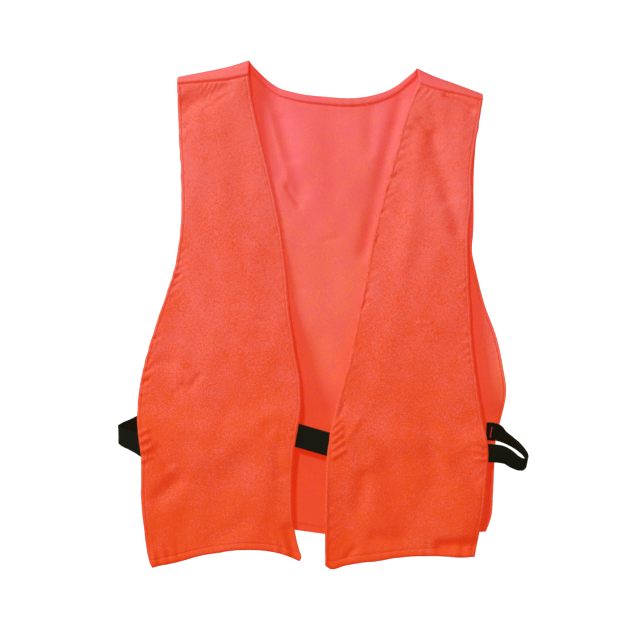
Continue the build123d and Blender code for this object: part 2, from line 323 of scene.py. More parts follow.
def cut_in_two(names, row, columns, points, faces, outward, outer, inner, material):
    """Two closed sheets of one cloth that meet at a row of its grid: the one above it, and the one below."""
    number, cut = np.arange(len(points)), np.arange(row * columns, (row + 1) * columns)
    parts = []
    for name, keep in zip(names, (number < (row + 1) * columns, number >= row * columns)):
        renumber = np.cumsum(keep) - 1
        own = renumber[faces[keep[faces].all(axis=1)]]
        shape = points[keep], own, outward[keep], outer[keep], inner[keep]
        parts.append(thick_sheet(name, *shape, material, renumber[cut]))
    return parts


# ---- materials ----
def linear(red, green, blue):
    """A screen colour, 0 to 255, as the linear colour a shader takes."""
    def channel(value):
        v = value / 255
        return v / 12.92 if v <= 0.04045 else ((v + 0.055) / 1.055) ** 2.4

    return (channel(red), channel(green), channel(blue), 1.0)


class Nodes:
    """Short calls that add shader nodes to one material."""

    def __init__(self, name, **surface):
        self.material = bpy.data.materials.new(name)
        self.material.use_nodes = True
        self.tree = self.material.node_tree
        self.shader = self.tree.nodes["Principled BSDF"]
        for setting, value in surface.items():
            self.feed(setting.replace("_", " ").title().replace("Ior", "IOR"), value)
        self.place = self.tree.nodes.new("ShaderNodeTexCoord").outputs["Object"]

    def feed(self, name, value, node=None):
        """Puts a number, a colour or another node's output into an input of a node, or of the shader."""
        socket = (node or self.shader).inputs[name]
        if isinstance(value, bpy.types.NodeSocket):
            self.tree.links.new(value, socket)
        else:
            socket.default_value = value

    def add(self, kind, output, inputs, **settings):
        """Adds a node and returns one of its outputs."""
        node = self.tree.nodes.new("ShaderNode" + kind)
        for setting, value in settings.items():
            setattr(node, setting, value)
        for name, value in inputs.items():
            self.feed(name, value, node)
        return node.outputs[output]

    def scaled(self, x, y, z):
        return self.add("Mapping", "Vector", {"Vector": self.place, "Scale": (x, y, z)})

    def height(self):
        return self.add("SeparateXYZ", "Z", {"Vector": self.place})

    def noise(self, scale, detail=2.0, vector=None):
        return self.add("TexNoise", "Fac", {"Vector": vector or self.place, "Scale": scale, "Detail": detail})

    def wave(self, scale, axis, distortion=0.0):
        inputs = {"Vector": self.place, "Scale": scale, "Distortion": distortion, "Detail": 1.0}
        return self.add("TexWave", "Fac", inputs, bands_direction=axis)

    def ramp(self, value, low, high):
        return self.add("MapRange", "Result", {"Value": value, "From Min": low, "From Max": high})

    def maths(self, operation, a, b):
        return self.add("Math", "Value", {0: a, 1: b}, operation=operation)

    def mix(self, share, a, b):
        return self.add("Mix", 2, {0: share, 6: a, 7: b}, data_type="RGBA")

    def bump(self, height, distance, strength, normal=None):
        inputs = {"Distance": distance, "Strength": strength, "Height": height}
        if normal is not None:
            inputs["Normal"] = normal
        return self.add("Bump", "Normal", inputs)


PAINTED_GLOW = linear(255, 46, 4)  # painted glow: the red light that cloth and thread give out, which stands in for the fluorescent dye and lifts their shade


def cloth_material(name, pinkness, top_light_share, tones, glow):
    """Plain-weave blaze orange cloth: fine weave, slubs, and a mottle between its deeper and its pinker tone.
    It is painted pinker towards the shoulders, as painted light from above. A painted glow, standing in for
    its fluorescent dye, lifts its shade and gives a good part of its red light."""
    m = Nodes(
        name,
        roughness=0.75,
        specular_ior_level=0.15,
        sheen_weight=0.12,
        sheen_roughness=0.5,
        sheen_tint=linear(255, 170, 215),
        # painted glow: the cloth gives out red light of its own, which lifts its shade
        emission_color=PAINTED_GLOW,
        emission_strength=glow,
    )
    weave = m.maths("MAXIMUM", m.wave(300.0, "X", 0.6), m.wave(300.0, "Z", 0.6))
    across, down = m.scaled(700, 700, 60), m.scaled(60, 700, 700)
    slubs = m.maths("ADD", m.noise(1.0, vector=across), m.noise(1.0, vector=down))
    mottle = m.ramp(m.noise(560.0, 1.0), 0.3, 0.7)
    clouds = m.maths("MULTIPLY", m.ramp(m.noise(42.0, 3.0), 0.3, 0.7), 0.25)
    patches = m.maths("MULTIPLY", m.ramp(m.noise(9.0), 0.3, 0.7), 0.25)
    # painted light: pinker towards the shoulders, as from light above
    painted_top_light = m.maths("MULTIPLY", m.ramp(m.height(), -0.74, -0.14), top_light_share)
    share = pinkness - 0.5
    for part in (painted_top_light, patches, mottle, clouds):
        share = m.maths("ADD", part, share)
    m.feed("Base Color", m.mix(share, *tones))
    fine = m.bump(slubs, 0.0003, 0.5, m.bump(weave, 0.00012, 0.6))
    m.feed("Normal", m.bump(m.noise(90.0), 0.0008, 0.35, fine))
    return m.material


def thread_material():
    """Orange polyester thread with a fine twist, painted darker than the cloth and with less glow: painted
    shade along the rows of stitching.
    """
    m = Nodes(
        "orange_thread",
        roughness=0.5,
        specular_ior_level=0.4,
        sheen_weight=0.3,
        sheen_roughness=0.5,
        sheen_tint=linear(255, 200, 220),
        # painted glow, weaker than the cloth's, and deeper tones: painted shade, so the rows show as dark
        # lines
        emission_color=PAINTED_GLOW,
        emission_strength=0.28,
    )
    m.feed("Base Color", m.mix(m.noise(900.0), linear(146, 50, 14), linear(154, 74, 52)))
    m.feed("Normal", m.bump(m.wave(1200.0, "DIAGONAL"), 0.0001, 0.6))
    return m.material


def black_material(name, rib_scale, axis, light=linear(19, 18, 12)):
    """Black narrow goods, ribbed along their length."""
    dark, depth = linear(11, 10, 4), linear(17, 16, 8)
    # painted glow: the black goods give out a faint light, which lifts their shade
    m = Nodes(name, roughness=0.9, specular_ior_level=0.04, emission_color=depth, emission_strength=1.0)
    ribs = m.wave(rib_scale, axis, 0.3)
    fuzz = m.noise(1200.0, 3.0)
    m.feed("Base Color", m.mix(m.maths("MULTIPLY", ribs, fuzz), dark, light))
    m.feed("Normal", m.bump(m.maths("ADD", ribs, m.maths("MULTIPLY", fuzz, 0.6)), 0.0002, 0.8))
    return m.material


FRONT_TONES = linear(138, 64, 2), linear(140, 96, 90)
# painted light: the back's copy of the cloth has a lighter deep tone and more pink, most of all low down, to
# make up for the shade the front panels cast on it
BACK_TONES = linear(148, 109, 56), linear(140, 84, 92)
CLOTH_LOOK = cloth_material("blaze_orange_cloth", -0.36, 0.80, FRONT_TONES, 0.60)
BACK_LOOK = cloth_material("blaze_orange_cloth_back", -0.13, 0.70, BACK_TONES, 0.61)
THREAD_LOOK = thread_material()
ELASTIC_LOOK = black_material("black_elastic", 260.0, "Z")
WEBBING_LOOK = black_material("black_webbing", 200.0, "X")
HOOK_LOOK = black_material("black_hook_tape", 420.0, "DIAGONAL", linear(40, 40, 38))
LOOP_LOOK = black_material("black_loop_tape", 700.0, "DIAGONAL", linear(46, 46, 44))


# ---- where the cloth hangs ----
LEFT_TOP, RIGHT_TOP = through(FOLD_LEFT), through(FOLD_RIGHT)
FOLD_TOP = np.concatenate([LEFT_TOP(np.linspace(0, 1, 200)), RIGHT_TOP(np.linspace(0, 1, 200))])


def fold_line(x):
    """Height of the cloth's top at x: over the hanger, and level across the neck between the two folds."""
    return np.interp(x, FOLD_TOP[:, 0], FOLD_TOP[:, 1])


def over_fold(drop):
    """Share of the fold's full depth that the cloth has reached, drop below its top."""
    short = np.clip(FOLD_RADIUS - drop, 0, FOLD_RADIUS)
    return np.sqrt(np.maximum(FOLD_RADIUS**2 - short**2, 0)) / FOLD_RADIUS


def front_y(x, z):
    """Depth of the front's plane, which leans out forwards below the fold over the hanger."""
    return over_fold(fold_line(x) - z) * (FRONT_Y + (z - TOP_Z) * FRONT_LEAN)


def back_y(x, z):
    """The same for the back's plane, which leans out backwards."""
    return over_fold(fold_line(x) - z) * (BACK_Y - (z - TOP_Z) * BACK_LEAN)


def seam_drop(x, left):
    """How far below the fold's top the shoulder seam lies, at x."""
    (near, far), points = (LEFT_SEAM_DROP, FOLD_LEFT) if left else (RIGHT_SEAM_DROP, FOLD_RIGHT)
    return np.interp(x, [points[0][0], points[-1][0]], [near, far])


# ---- cloth simulation ----
DRAPE_FRAMES = 22
DRAPE_STEP, DRAPE_LIMIT = 9.0, 7.0  # the coarse copy's grid, and how far it may move


def simulated_offsets(points, rows, columns, held):
    """Lets a coarse copy of a panel hang by its held points, and returns how far it moves along Y, in mm."""
    body = new_object("draping", points, grid_faces(rows, columns), CLOTH_LOOK)
    group = body.vertex_groups.new(name="held")
    for k, weight in enumerate(held.ravel()):
        if weight > 0:
            group.add([k], float(weight), "REPLACE")
    cloth = body.modifiers.new("Cloth", "CLOTH")
    settings = cloth.settings
    settings.quality = 6
    settings.mass = 0.15
    settings.tension_stiffness = settings.compression_stiffness = 12
    settings.shear_stiffness = 6
    settings.bending_stiffness = 0.6
    settings.air_damping = 2.0
    settings.vertex_group_mass = "held"
    settings.shrink_min = -0.012
    cloth.point_cache.frame_start, cloth.point_cache.frame_end = 1, DRAPE_FRAMES
    scene = bpy.context.scene
    for step in range(1, DRAPE_FRAMES + 1):
        scene.frame_set(step)
    moved = body.evaluated_get(bpy.context.evaluated_depsgraph_get()).data
    result = np.empty(len(points) * 3)
    moved.vertices.foreach_get("co", result)
    result = result.reshape(-1, 3) / MM
    bpy.data.objects.remove(body, do_unlink=True)
    scene.frame_set(1)
    return (result[:, 1] - points[:, 1]).reshape(rows, columns)


def spaced(places, step):
    """Numbers of the places nearest to even steps, with both ends."""
    wanted = np.arange(0, places[-1], step)
    return np.unique(np.r_[np.searchsorted(places, wanted), len(places) - 1])


def softened(values, reach, axis):
    """A running mean along one axis, taken three times."""
    for _ in range(3):
        pad = [(0, 0), (0, 0)]
        pad[axis] = (reach + 1, reach)
        total = np.cumsum(np.pad(values, pad, mode="edge"), axis=axis)
        n = values.shape[axis]
        window = 2 * reach + 1
        values = (np.take(total, range(window, n + window), axis) - np.take(total, range(n), axis)) / window
    return values


def draped(cells, base_y, held_places, held_top):
    """Out-of-plane drape for a panel's grid, from a coarse cloth simulation of the same outline."""
    down = cells["from_top"][:, 0]
    across = cells["from_left"][len(down) // 2]
    some_rows, some_columns = spaced(down, DRAPE_STEP), spaced(across, DRAPE_STEP)
    pick = np.ix_(some_rows, some_columns)
    x, z = cells["x"][pick], cells["z"][pick]
    y = base_y[pick] + 0.4 * noise_field(x, z, 71, 60, 160)
    held = np.zeros(x.shape)
    held[0] = held_top[some_columns]
    for x0, z0, x1, z1, reach in held_places:
        held[np.hypot(x - 0.5 * (x0 + x1), z - 0.5 * (z0 + z1)) < reach] = 1.0
    points = np.stack([x, y, z], axis=-1).reshape(-1, 3)
    moved = DRAPE_LIMIT * np.tanh(simulated_offsets(points, *x.shape, held) / DRAPE_LIMIT)
    by_row = np.stack([np.interp(down, down[some_rows], line) for line in moved.T], axis=1)
    whole = np.stack([np.interp(across, across[some_columns], line) for line in by_row])
    return softened(softened(whole, 4, 0), 4, 1)


# ---- stitches ----
LIFT, BOX_LIFT = 0.25, 0.35  # from the cloth's middle to the middle of the thread on it
THREAD_RADIUS, TACK_RADIUS, TACK_PITCH = 0.32, 0.4, 1.1  # in a row and in a bar tack, and that one's pitch


def beads(name, spans, radius=THREAD_RADIUS, lift=0.0):
    """Small beads of thread, one for each span: its start, its end and the way up."""
    around = np.linspace(0, 2 * math.pi, 7)[:-1]
    sections = [(-0.5, 0.0, -0.5), (-0.38, 0.8, 0.0), (0.0, 1.0, 0.35), (0.38, 0.8, 0.0), (0.5, 0.0, -0.5)]
    points, faces = [], []
    for start, end, up in spans:
        along = end - start
        side = np.cross(up, along / np.linalg.norm(along))
        first = len(points)
        for share, size, rise in sections:
            middle = 0.5 * (start + end) + share * along + up * (lift + rise * radius)
            if size == 0.0:
                points.append(middle)
                continue
            for angle in around:
                points.append(middle + radius * size * (side * math.cos(angle) + up * math.sin(angle)))
        for k in range(6):
            after = (k + 1) % 6
            faces.append((first, first + 1 + after, first + 1 + k))
            for ring in (first + 1, first + 7):
                faces.append((ring + k, ring + after, ring + 6 + after, ring + 6 + k))
            faces.append((first + 19, first + 13 + k, first + 13 + after))
    return new_object(name, points, faces, THREAD_LOOK)


def at_length(line, run, place):
    """The place on a line of points at a length along it."""
    return np.array([np.interp(place, run, line[:, k]) for k in range(3)])


def stitch_row(name, line, normals, lift=LIFT):
    """A row of lockstitch along a line of points, one bead for each stitch."""
    run = np.r_[0, np.cumsum(np.linalg.norm(np.diff(line, axis=0), axis=1))]
    spans = []
    for start in np.arange(STITCH_GAP, run[-1] - STITCH, STITCH + STITCH_GAP):
        up = at_length(normals, run, start + 0.5 * STITCH)
        ends = (at_length(line, run, start), at_length(line, run, start + STITCH))
        spans.append((*ends, up / np.linalg.norm(up)))
    return beads(name, spans, lift=lift)


def inside_row(name, line, normals):
    """The same row as it shows inside, on a turned hem's layers."""
    return stitch_row(name + "_inside", line, -normals, LIFT + HEM_LAYERS)


def zigzag(name, start, end, width):
    """A bar tack: a dense zigzag of thread between two points, with its front face towards the viewer."""
    start, end, up = (np.array(value, float) for value in (start, end, (0, -1, 0)))
    length = np.linalg.norm(end - start)
    side = 0.5 * width * np.cross(up, (end - start) / length)
    turns = int(length / TACK_PITCH)
    corners = [start + (end - start) * k / turns + side * (1 if k % 2 else -1) for k in range(turns + 1)]
    return beads(name, [(p, q, up) for p, q in zip(corners, corners[1:])], TACK_RADIUS)


# ---- front panels ----
SPLIT_DEPTH = 75.0  # where a front panel's top part ends, below the shoulder seam
TUCK, TUCK_DEPTH = 4.0, 3.0  # how far a front panel reaches up behind the shoulder strip, and how deep
# how strongly the pressed folds and the hems show, in front and on the back
FRONT_FOLDS, BACK_FOLDS, FRONT_HEMS, BACK_HEMS = 1.5, 1.4, 1.6, 1.8
# how far a front's inner edge bulges backwards, and the back's middle and sides forwards
INNER_BULGE, CHEST_BULGE, SIDE_BULGE = 5, 14, 15
# rows of a grid that its side stitches leave free: at a front's top, at the back's top, and at the hem
BARE_FRONT_TOP, BARE_BACK_TOP, BARE_HEM = 4, 10, 6

# where the straps and the closure are sewn on, the cloth is held flat: x0, z0, x1, z1, reach
LEFT_HELD = [(-258, -534, -236, -543, 24), (-62, -512, -28, -522, 27)]
RIGHT_HELD = [(214, -546, 236, -546, 24), (6, -531, 52, -544, 27)]
BEHIND_CLOSURE = (0, -525, 55, -545, 45)  # smooth cloth, which the peeled closure passes
BACK_HELD = [(-248, -499, -226, -490, 24), (230, -514, 256, -516, 24)]


def held_flat(x, z, places):
    """1 where the cloth is held flat by what is sewn to it, falling to 0 away from it."""
    total = strokes(x, z, [(x0, z0, x1, z1, reach, 2.0) for x0, z0, x1, z1, reach in places])
    return np.clip(total, 0, 1)


def cut_size(plain):
    """Width, length and area in metres of the cut that a grid of places without folds lies on."""
    down, across = np.diff(plain[:, :-1], axis=0), np.diff(plain[:-1], axis=1)
    area = np.linalg.norm(np.cross(down, across), axis=2).sum()
    width = np.ptp(plain[..., 0])
    length = np.linalg.norm(np.diff(plain, axis=0), axis=2).sum(axis=0).max()
    return (width * MM, length * MM), area * MM * MM


def front_panel(side, outline, marks, held_places, edges, seed):
    """A front panel's cloth in two pieces that meet below the shoulder, and its rows of stitching.
    edges holds the pitch and height of the puckers along its left and right edges."""
    left_edge, right_edge, hem = outline
    is_left = side == "left"
    top_x = np.linspace(left_edge[0][0], right_edge[0][0], 9)
    top = np.stack([top_x, fold_line(top_x) - seam_drop(top_x, is_left) + TUCK], axis=1)
    left_curve, right_curve = through([top[0]] + left_edge[1:]), through([top[-1]] + right_edge[1:])
    tall = 0.5 * (left_curve.length + right_curve.length)
    shares = row_shares(tall, np.arange(0, 34, 1.2))
    cells = grid(through(top), through(hem), left_curve, right_curve, shares, FRONT_COLUMNS)
    x, z = cells["x"], cells["z"]
    below_seam = fold_line(x) - z - seam_drop(x, is_left)
    base = front_y(x, z) + TUCK_DEPTH * (1 - ease((below_seam - 0.4) / 4))
    # the cloth's own fall, its pressed folds, and its inner edge leaning back towards the chest
    free = ease((below_seam - 4) / 30) * (1 - held_flat(x, z, held_places))
    drape = draped(cells, base, held_places, np.ones(x.shape[1]))
    waves, ripples = noise_field(x, z, seed, 90, 240, lean=0.2), noise_field(x, z, seed + 1, 35, 80)
    relief = free * (drape - 1.6 * waves - 0.5 * ripples)
    relief += FRONT_FOLDS * strokes(x, z, marks)
    from_inner = cells["from_right"] if is_left else cells["from_left"]
    by_chest = ease((below_seam - 15) / 90) * (1 - ease((below_seam - 300) / 120))
    relief += INNER_BULGE * bell(from_inner / 45) * by_chest
    # the hems, and the puckers along their stitching and the shoulder seam
    from_side = np.minimum(cells["from_left"], cells["from_right"])
    groove = np.where(cells["from_left"] < cells["from_right"], 0.6 if is_left else 0.15, 0.6)
    relief -= sewn(from_side, SEWN_EDGE, groove) + FRONT_HEMS * sewn(cells["from_hem"], SEWN_HEM)
    relief += gathers(cells, "left", EDGE_HEM, seed + 2, *edges[0], 9, 0.8)
    relief += gathers(cells, "right", EDGE_HEM, seed + 3, *edges[1], 10, -0.9)
    relief += gathers(cells, "hem", HEM, seed + 4, 15, 1.4, 14)
    relief += puckers(x, np.abs(below_seam), seed + 5, 9, 1.5, 16, 0.7) * ease(below_seam / 3)
    points = np.stack([x, base + relief, z], axis=-1)
    points[..., 0] += 0.5 * noise_line(cells["along_left"], seed + 6, 9) * np.exp(-cells["from_left"] / 5)
    points[..., 0] -= 0.4 * noise_line(cells["along_right"], seed + 7, 9) * np.exp(-cells["from_right"] / 5)
    points[..., 2] += 0.5 * noise_line(cells["along_hem"], seed + 8, 12) * np.exp(-cells["from_hem"] / 6)

    rows, columns = x.shape
    cloud, faces = points.reshape(-1, 3), grid_faces(rows, columns)
    outward = surface_normals(cloud, faces)
    inside = inside_thickness(from_side, cells["from_hem"])
    split = nearest(cells["from_top"][:, 0], SPLIT_DEPTH + TUCK)
    names = [f"{side}_front_cloth_{part}" for part in ("top", "main")]
    outer = np.full(len(cloud), 0.5 * CLOTH)
    top_part, main_part = cut_in_two(names, split, columns, cloud, faces, outward, outer, inside, CLOTH_LOOK)
    plain = np.stack([x, base, z], axis=-1)
    made = {"points": points, "top": top_part, "main": main_part, "top_stitches": [], "main_stitches": []}
    made["cuts"] = {"top": cut_size(plain[: split + 1]), "main": cut_size(plain[split:])}
    across = nearest(EDGE_STEPS, SEWN_EDGE)
    normals = outward.reshape(rows, columns, 3)
    for edge, column in (("left", across), ("right", columns - 1 - across)):
        for part, span in (("top", slice(BARE_FRONT_TOP, split + 1)), ("main", slice(split, -BARE_HEM))):
            name = f"{side}_front_{edge}_edge_stitches_{part}"
            line = name, points[span, column], normals[span, column]
            made[part + "_stitches"] += [stitch_row(*line), inside_row(*line)]
    low = rows - 1 - nearest(HEM_STEPS, SEWN_HEM), slice(across, -across)
    line = f"{side}_front_hem_stitches", points[low], normals[low]
    made["main_stitches"] += [stitch_row(*line), inside_row(*line)]
    return made


def cloth_y(panel, x, z):
    """Depth of a panel's middle surface at x and z."""
    flat = panel["points"].reshape(-1, 3)
    return flat[np.argmin((flat[:, 0] - x) ** 2 + (flat[:, 2] - z) ** 2), 1]


# pressed folds: x0, z0, x1, z1, width, depth; a fold with a negative depth stands up towards the viewer
LEFT_MARKS = [
    (-190, -60, -160, -44, 11, 2.4), (-160, -44, -133, -30, 8, 2.2), (-165, -62, -129, -37, 6, 1.2),
    (-183, -129, -160, -136, 2.5, 0.6), (-227, -606, -203, -584, 12, 3.6), (-193, -449, -185, -455, 4, 1.8),
    (-185, -455, -171, -436, 5, 1.8), (-92, -358, -80, -358, 2.2, 1.0), (-207, -462, -201, -457, 4, 1.0),
    (-238, -387, -227, -381, 2.6, 1.3), (-253, -434, -240, -425, 2.8, 1.6),
    (-254, -451, -244, -443, 2.8, 1.6), (-245, -419, -213, -419, 10, 1.8), (-206, -303, -199, -292, 3, 1.0),
    (-254, -517, -243, -511, 2.6, -2.0), (-254, -529, -242, -523, 2.6, -2.4),
    (-253, -542, -240, -536, 2.6, -2.6), (-252, -556, -239, -549, 2.6, -2.0),
    (-229, -540, -216, -560, 8, 2.8),
    (-76, -508, -74, -510, 9, 1.4), (-63, -540, -60, -575, 8, 1.6), (-46, -652, -34, -690, 9, 3.4),
    (-150, -668, -110, -640, 14, 2.2), (-38, -508, -45, -510, 2, -0.8), (-39, -518, -46, -520, 2, -0.8),
]
RIGHT_MARKS = [
    (176, -43, 211, -63, 5, 3.6), (139, -79, 157, -98, 7, 3.0), (157, -98, 165, -128, 11, 4.4),
    (165, -128, 178, -186, 14, 5.2), (178, -186, 191, -230, 11, 3.2), (130, -92, 143, -102, 6, 1.8),
    (195, -556, 213, -580, 14, 3.4), (165, -673, 211, -671, 8, 6.0), (75, -662, 110, -664, 11, 2.4),
    (58, -578, 51, -622, 11, 2.8), (152, -512, 154, -585, 16, 2.4), (133, -364, 152, -362, 2.5, -1.0),
    (95, -160, 104, -155, 2.4, 1.3), (92, -178, 99, -175, 2.4, 1.2), (82, -209, 90, -204, 2.4, 1.4),
    (77, -249, 81, -240, 2.4, 1.2), (62, -322, 67, -313, 2.6, 1.4), (55, -345, 62, -333, 2.6, 1.5),
    (36, -412, 44, -398, 2.6, 1.3), (176, -213, 192, -232, 5, 1.6),
    (34, -689, 47, -676, 4, 1.8), (25, -494, 31, -476, 3, 1.6), (18, -505, 28, -495, 2.2, -2.0),
    (17, -516, 28, -506, 2.2, -2.2), (16, -527, 28, -517, 2.2, -2.2), (15, -538, 29, -528, 2.2, -2.3),
    (15, -550, 31, -540, 2.4, -2.4), (36, -524, 52, -498, 4, -1.0), (214, -527, 226, -533, 2.4, -2.2),
    (213, -540, 227, -543, 2.4, -2.2), (214, -553, 228, -552, 2.4, -2.0),
]
LEFT_EDGES, RIGHT_EDGES = (LEFT_OUTER, LEFT_INNER, LEFT_HEM), (RIGHT_INNER, RIGHT_OUTER, RIGHT_HEM)
left = front_panel("left", LEFT_EDGES, LEFT_MARKS, LEFT_HELD, ((19, 1.5), (15, 0.4)), seed=11)
right = front_panel("right", RIGHT_EDGES, RIGHT_MARKS, RIGHT_HELD, ((18, 1.2), (14, 0.9)), seed=31)


# ---- back panel ----
BACK_MARKS = [
    (-74, -42, -60, -74, 12, 3.6), (-60, -74, -43, -130, 13, 5.0), (-43, -130, -33, -180, 12, 3.2),
    (-48, -172, -32, -196, 5, 3.4), (2, -247, 23, -243, 4, 0.8), (-36, -312, -26, -316, 4, 0.8),
    (-78, -60, -58, -150, 10, 2.2), (112, -50, 103, -85, 10, 3.2), (103, -85, 89, -140, 11, 4.6),
    (89, -140, 62, -262, 12, 4.0), (72, -60, 66, -120, 10, 1.6), (10, -60, 14, -170, 16, 1.4),
    (214, -590, 210, -640, 16, -5.0),
]
LEFT_SEAM_ENDS, RIGHT_SEAM_ENDS = (-203.5, -104.0), (137.0, 226.0)  # the shoulder seams' ends, in x


def behind_fronts(x, z, y, room=3.5, cell=4.0, wide=160, tall=200, above=10):
    """The back's depth y, pushed back where a front panel would come nearer to it than room.
    A map of square cells holds the fronts' depth. It starts a few cells above z = 0."""
    def in_map(x, z):
        return (x / cell + wide // 2).astype(int), np.clip((-z / cell + above).astype(int), 0, tall - 1)

    front_most = np.full((wide, tall), -1e3)
    for panel in (left, right):
        place = panel["points"].reshape(-1, 3)
        np.maximum.at(front_most, in_map(place[:, 0], place[:, 2]), place[:, 1])
    for axis in (0, 1):
        beside = np.maximum(np.roll(front_most, 1, axis), np.roll(front_most, -1, axis))
        front_most = np.maximum(front_most, beside)
    push = np.maximum(front_most[in_map(x, z)] + room - y, 0) * ease((fold_line(x) - z - 14) / 25)
    return y + softened(softened(push, 2, 0), 2, 1) * 1.15  # a little more, as softening takes some away


def back_panel():
    """The back's cloth and the two strips in which it comes over the hanger to the seams, as one sheet."""
    left_curve, right_curve, neck = through(BACK_LEFT), through(BACK_RIGHT), through(BACK_NECK)
    tall = 0.5 * (left_curve.length + right_curve.length)
    arc = FOLD_RADIUS * (1 - np.cos(np.linspace(0, math.pi / 2, 9)))
    near_facing = FACING + np.array([-2.8, -0.9, -0.4, 0, 1.0, 1.9])
    near_top = np.r_[np.sort(np.r_[arc, near_facing]), np.arange(FOLD_RADIUS + 1.5, 34, 1.5)]
    shares = row_shares(tall, near_top, step=3.2)
    lengths = np.cumsum([LEFT_TOP.length, neck.length, RIGHT_TOP.length])
    first_end, second_end = lengths[:2] / lengths[2]
    width = np.linalg.norm(right_curve(0.0) - left_curve(0.0))
    even = np.linspace(EDGE_STEPS[-1], width - EDGE_STEPS[-1], BACK_COLUMNS + 2)[1:-1]
    across = np.r_[EDGE_STEPS, even, width - EDGE_STEPS[::-1]] / width
    at_left, at_right = nearest(across, first_end), nearest(across, second_end)

    def top(share):
        share = np.interp(share, [0, across[at_left], across[at_right], 1], [0, first_end, second_end, 1])
        over_left = LEFT_TOP(np.clip(share / first_end, 0, 1))
        over_neck = neck(np.clip((share - first_end) / (second_end - first_end), 0, 1))
        over_right = RIGHT_TOP(np.clip((share - second_end) / (1 - second_end), 0, 1))
        pick = np.asarray(share)[..., None]
        return np.where(pick < first_end, over_left, np.where(pick <= second_end, over_neck, over_right))

    cells = grid(top, through(BACK_HEM), left_curve, right_curve, shares, BACK_COLUMNS)
    x, z = cells["x"], cells["z"]
    rows, columns = x.shape
    drop = fold_line(x) - z
    base = back_y(x, z)
    column = np.arange(columns)
    over_hanger = ((column <= at_left) | (column >= at_right)).astype(float)
    # the cloth's own fall, its pressed folds, and its middle coming forwards behind the chest
    free = ease((drop - FOLD_RADIUS) / 50) * (1 - held_flat(x, z, BACK_HELD + [BEHIND_CLOSURE]))
    drape = draped(cells, base, BACK_HELD, over_hanger)
    waves, ripples = noise_field(x, z, 53, 110, 280, lean=0.1), noise_field(x, z, 54, 35, 90)
    relief = free * (drape + 1.8 * waves + 0.5 * ripples)
    relief += BACK_FOLDS * strokes(x, z, BACK_MARKS)
    across_chest = 1 - ease((np.abs(x - 15) - 75) / 95)
    relief -= CHEST_BULGE * across_chest * ease((drop - 45) / 110) * (1 - 0.9 * ease((drop - 330) / 110))
    from_side = np.minimum(cells["from_left"], cells["from_right"])
    low_enough = ease((drop - 3) / 12)
    relief += low_enough * (sewn(from_side, SEWN_EDGE) + BACK_HEMS * sewn(cells["from_hem"], SEWN_HEM))
    relief += low_enough * gathers(cells, "left", EDGE_HEM, 55, 13, 0.55, 9, 0.8)
    relief += low_enough * gathers(cells, "right", EDGE_HEM, 56, 12, 0.6, 10, -0.9)
    relief += gathers(cells, "hem", HEM, 57, 16, 0.7, 12)
    by_arms = ease((drop - 30) / 80) * (1 - ease((drop - 390) / 80))
    relief -= SIDE_BULGE * bell(from_side / 45) * by_arms
    relief = behind_fronts(x, z, base + relief) - base
    in_neck = 1 - over_hanger
    relief += 1.6 * in_neck * bell((cells["from_top"] - FACING - 1.6) / 1.8)
    relief += in_neck * low_enough * puckers(x, np.abs(cells["from_top"] - FACING), 58, 17, 0.5, 12)
    main = np.stack([x, base + relief, z], axis=-1)
    main[..., 2] += 0.5 * noise_line(cells["along_hem"], 59, 12) * np.exp(-cells["from_hem"] / 6)
    cloud = [main.reshape(-1, 3)]
    faces = [grid_faces(rows, columns)[:, ::-1]]
    inside = [inside_thickness(from_side, cells["from_hem"])]

    # the strips, each from its fold down to its seam
    share = np.r_[np.linspace(0, 1, 15)[1:-1] ** 1.5, 0.93, 0.955, 0.975, 0.99, 1.0][:, None]
    count = rows * columns
    strips = []
    for is_left, own in ((True, column <= at_left), (False, column >= at_right)):
        fold_x, fold_z = x[0, own], z[0, own]
        seam_x = np.interp(fold_x, fold_x[[0, -1]], LEFT_SEAM_ENDS if is_left else RIGHT_SEAM_ENDS)
        strip_x = fold_x + (seam_x - fold_x) * share
        whole = seam_drop(fold_x, is_left) + 0.4
        deep, to_seam = whole * share, whole * (1 - share)
        strip_z = fold_z - deep
        strip_y = over_fold(deep) * (FRONT_Y + (strip_z - TOP_Z) * FRONT_LEAN)
        strip_y += 1.8 * bell(to_seam / 1.2) - 1.5 * bell((to_seam - 3) / 2.6)
        strip_y += puckers(strip_x, to_seam, 61 + is_left, 12, 0.5, 5)
        strips.append(np.stack([strip_x, strip_y, strip_z], axis=-1))
        cloud.append(strips[-1].reshape(-1, 3))
        number = np.vstack([column[own], count + np.arange(strip_x.size).reshape(strip_x.shape)])
        corners = number[:-1, :-1], number[1:, :-1], number[1:, 1:], number[:-1, 1:]
        faces.append(np.stack(corners, axis=-1).reshape(-1, 4))
        hemmed = turned_in(np.minimum(from_side[0, own], (1 - share) * 18 + 1))
        inside.append((0.5 * CLOTH + 0.5 * HEM_LAYERS * hemmed).ravel())
        count += strip_x.size
    cloud, faces, inside = np.concatenate(cloud), np.concatenate(faces), np.concatenate(inside)
    outward = surface_normals(cloud, faces)
    normals = outward[: rows * columns].reshape(rows, columns, 3)
    (width, length), area = cut_size(np.stack([x, base, z], axis=-1))
    wrap = max(LEFT_SEAM_DROP + RIGHT_SEAM_DROP)
    made = {"cut": ((width, length + wrap * MM), sum((cut_size(strip)[1] for strip in strips), area))}
    made["cloth"] = thick_sheet("back_cloth", cloud, faces, outward, 0.5 * CLOTH, inside, BACK_LOOK)

